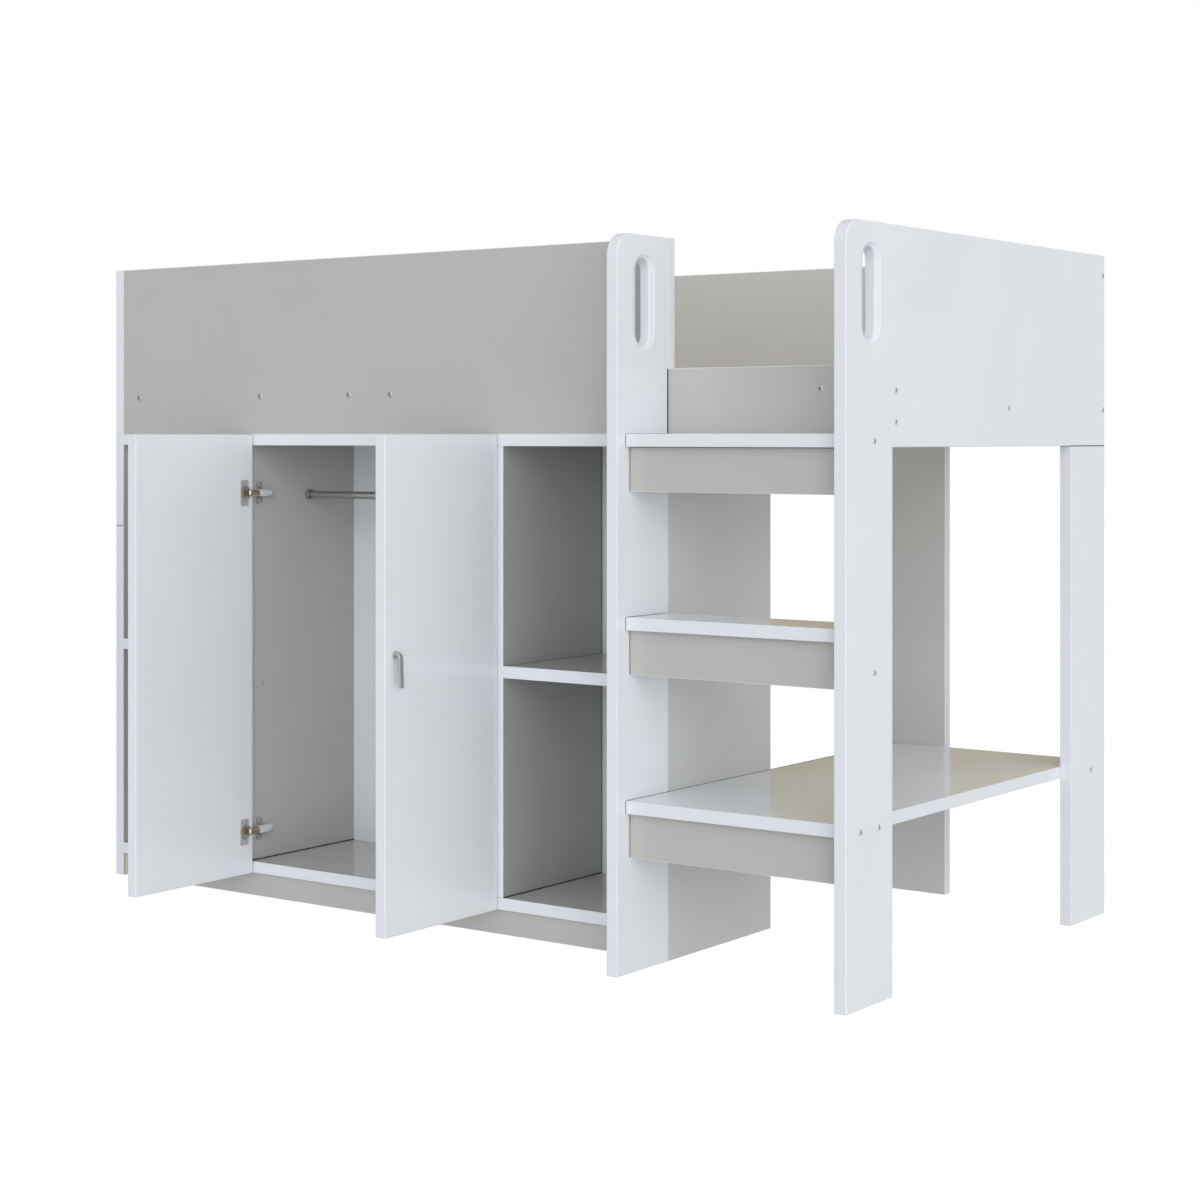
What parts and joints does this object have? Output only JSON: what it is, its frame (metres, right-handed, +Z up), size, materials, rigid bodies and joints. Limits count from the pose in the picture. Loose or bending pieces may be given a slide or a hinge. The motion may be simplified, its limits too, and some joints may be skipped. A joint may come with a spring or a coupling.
{
  "type": "loft bed with desk",
  "caption": "Mid-height cabin bed of white and grey boards: two-door wardrobe and open shelf bays under the bed, steps at one end, low desk board under the entry.",
  "frame": {"origin": "On the floor, in the middle of the footprint of the whole object with both doors standing open at 90 degrees.", "axes": "+Z up, +X along the bed towards the ladder and desk end, +Y towards the wall side. The doors open towards -Y."},
  "size_m": [2.06, 1.321, 1.424],
  "materials": {
    "white_board": "white melamine-faced board with matching edge band, satin",
    "grey_board": "light grey melamine-faced board with white edge band, satin",
    "pine": "planed softwood, unfinished",
    "hinge_steel": "nickel-plated pressed steel",
    "hinge_link": "zinc-plated, warm tint",
    "handle_metal": "satin nickel look",
    "tube_chrome": "bright drawn tube"
  },
  "bodies": {
    "frame": {"carcass_back_panel": "white_board", "ladder_upright": "white_board", "right_end_panel": "white_board", "back_leg_right": "white_board", "tread_top": "white_board", "tread_middle": "white_board", "desk_board": "white_board", "left_end_panel_lower": "grey_board", "left_end_panel_upper": "grey_board", "top_board": "grey_board", "bottom_board": "grey_board", "shelf_left": "grey_board", "shelf_right": "grey_board", "carcass_side_right": "grey_board", "divider_left": "grey_board", "divider_right": "grey_board", "plinth_front": "grey_board", "plinth_back": "grey_board", "fascia_top": "grey_board", "fascia_middle": "grey_board", "fascia_desk": "grey_board", "desk_support_board": "grey_board", "front_guard_rail": "grey_board", "entry_rail": "grey_board", "back_guard_rail": "grey_board", "batten_front": "pine", "batten_back": "pine", "centre_support_rail": "pine", "slat_01": "pine", "slat_02": "pine", "slat_03": "pine", "slat_04": "pine", "slat_05": "pine", "slat_06": "pine", "slat_07": "pine", "slat_08": "pine", "slat_09": "pine", "slat_10": "pine", "slat_11": "pine", "slat_12": "pine", "rail_socket_left": "hinge_steel", "rail_socket_right": "hinge_steel", "hinge_arm_left_lower": "hinge_steel", "hinge_arm_left_upper": "hinge_steel", "hinge_arm_right_lower": "hinge_steel", "hinge_arm_right_upper": "hinge_steel", "hinge_link_left_lower": "hinge_link", "hinge_link_left_upper": "hinge_link", "hinge_link_right_lower": "hinge_link", "hinge_link_right_upper": "hinge_link", "hanging_rail": "tube_chrome"},
    "door_left": {"door_left": "white_board", "handle_left": "handle_metal", "hinge_cup_left_lower": "hinge_steel", "hinge_cup_left_upper": "hinge_steel"},
    "door_right": {"door_right": "white_board", "handle_right": "handle_metal", "hinge_cup_right_lower": "hinge_steel", "hinge_cup_right_upper": "hinge_steel"}
  },
  "joints": [
    {"name": "door_left_hinge", "type": "hinge", "parent": "frame", "child": "door_left", "pos_m": [-0.59425, -0.31625, 0.5445], "axis": [0, 0, 1], "range_deg": [-5, 90]},
    {"name": "door_right_hinge", "type": "hinge", "parent": "frame", "child": "door_right", "pos_m": [0.09725, -0.31625, 0.5445], "axis": [0, 0, -1], "range_deg": [-5, 90]}
  ]
}
